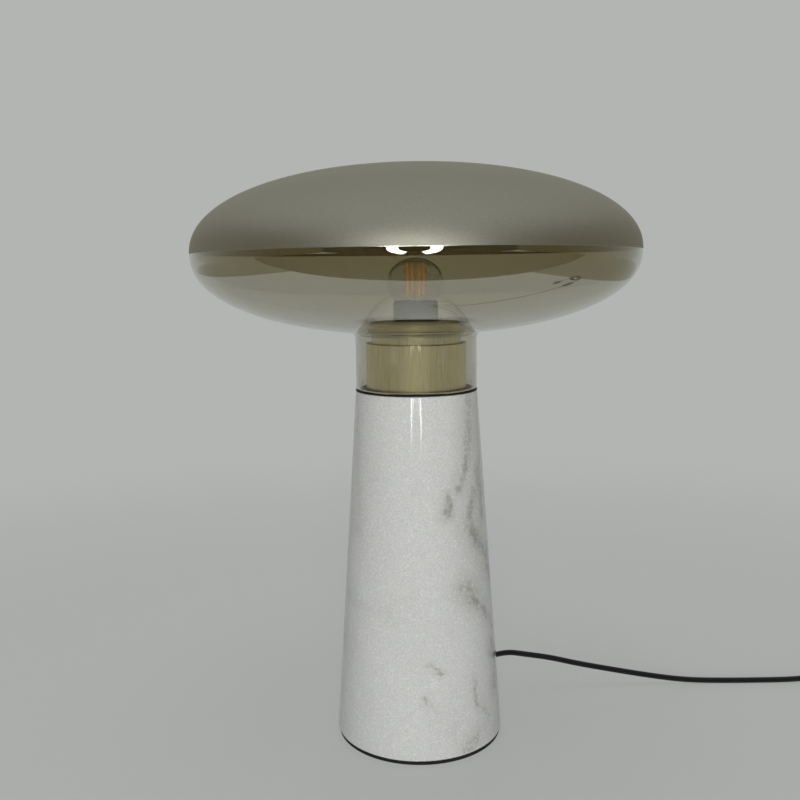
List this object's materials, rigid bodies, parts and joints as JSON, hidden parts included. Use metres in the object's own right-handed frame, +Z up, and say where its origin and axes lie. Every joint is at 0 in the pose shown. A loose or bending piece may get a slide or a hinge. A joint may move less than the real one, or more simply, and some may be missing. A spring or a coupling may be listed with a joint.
{
  "type": "table lamp",
  "caption": "Mushroom table lamp: cone base of veined marble, gold collar and a wide glass shade, clear below and champagne coated above, on a filament bulb.",
  "frame": {"origin": "centre of the underside of the foot pad, on the table", "axes": "+Z up along the lamp's axis; the cord leaves the back of the base and runs towards +X"},
  "size_m": [0.7365, 0.35, 0.4625],
  "materials": {
    "pad": "matt black",
    "marble": "polished",
    "steel": "zinc plated",
    "gold": "brushed champagne gold",
    "seal": "black",
    "holder": "dark grey",
    "ceramic": "unglazed",
    "brass": "bright",
    "glass": "clear",
    "satin_shade": "satin champagne metal coat on the glass",
    "shade_glass": "clear, half-mirrored",
    "phosphor": "yellow-orange",
    "wire": "bright",
    "cap_metal": "bright",
    "black_glass": "gloss",
    "board": "gloss",
    "cord": "satin black",
    "core": "brown",
    "black_plastic": "fine texture",
    "screw": "bright"
  },
  "bodies": {
    "lamp": {"foot_pad": "pad", "marble_base": "marble", "foot_washer": "steel", "spring_washer": "steel", "foot_nut": "steel", "threaded_tube": "steel", "collar": "gold", "collar_cap": "gold", "top_washer": "steel", "top_nut": "steel", "seat_ring": "seal", "holder_base": "holder", "holder_sleeve": "holder", "holder_core": "ceramic", "holder_screw_shell": "brass", "holder_centre_contact": "brass", "terminal_screws": "screw", "lead_wires": "core", "cord_bushing": "black_plastic", "inner_cord": "cord", "cord_run": "cord", "cord_link": "cord", "cord_coil": "cord", "cord_tail": "cord", "coil_tie": "black_plastic", "switch_lower": "black_plastic", "switch_upper": "black_plastic", "switch_screws": "screw", "switch_contacts": "brass", "switch_cores": "core", "plug_body": "black_plastic", "plug_blades": "brass"},
    "bulb_contact": {"bulb_tip": "cap_metal"},
    "bulb": {"bulb_glass": "glass", "bulb_stem": "glass", "filaments": "phosphor", "filament_wires": "wire", "bulb_cap": "cap_metal", "bulb_insulator": "black_glass", "bulb_driver": "board"},
    "shade": {"shade_dome": "satin_shade", "shade_bowl": "shade_glass", "shade_neck": "shade_glass"},
    "rocker": {"switch_rocker": "black_plastic"}
  },
  "joints": [
    {"name": "shade_lift", "type": "slide", "parent": "lamp", "child": "shade", "axis": [0, 0, 1], "range_m": [0, 0.12]},
    {"name": "bulb_rise", "type": "slide", "parent": "lamp", "child": "bulb_contact", "axis": [0, 0, 1], "range_m": [0, 0.022]},
    {"name": "bulb_turn", "type": "hinge", "parent": "bulb_contact", "child": "bulb", "pos_m": [0, 0, 0.35], "axis": [0, 0, 1], "range_deg": [0, 2160]},
    {"name": "switch_tilt", "type": "hinge", "parent": "lamp", "child": "rocker", "pos_m": [0.422, 0.062, 0.0115], "axis": [0, 1, 0], "range_deg": [0, 14]}
  ],
  "couplings": [
    {"joint": "bulb_rise", "follows": "bulb_turn", "m_per_rad": 0.00057757}
  ]
}
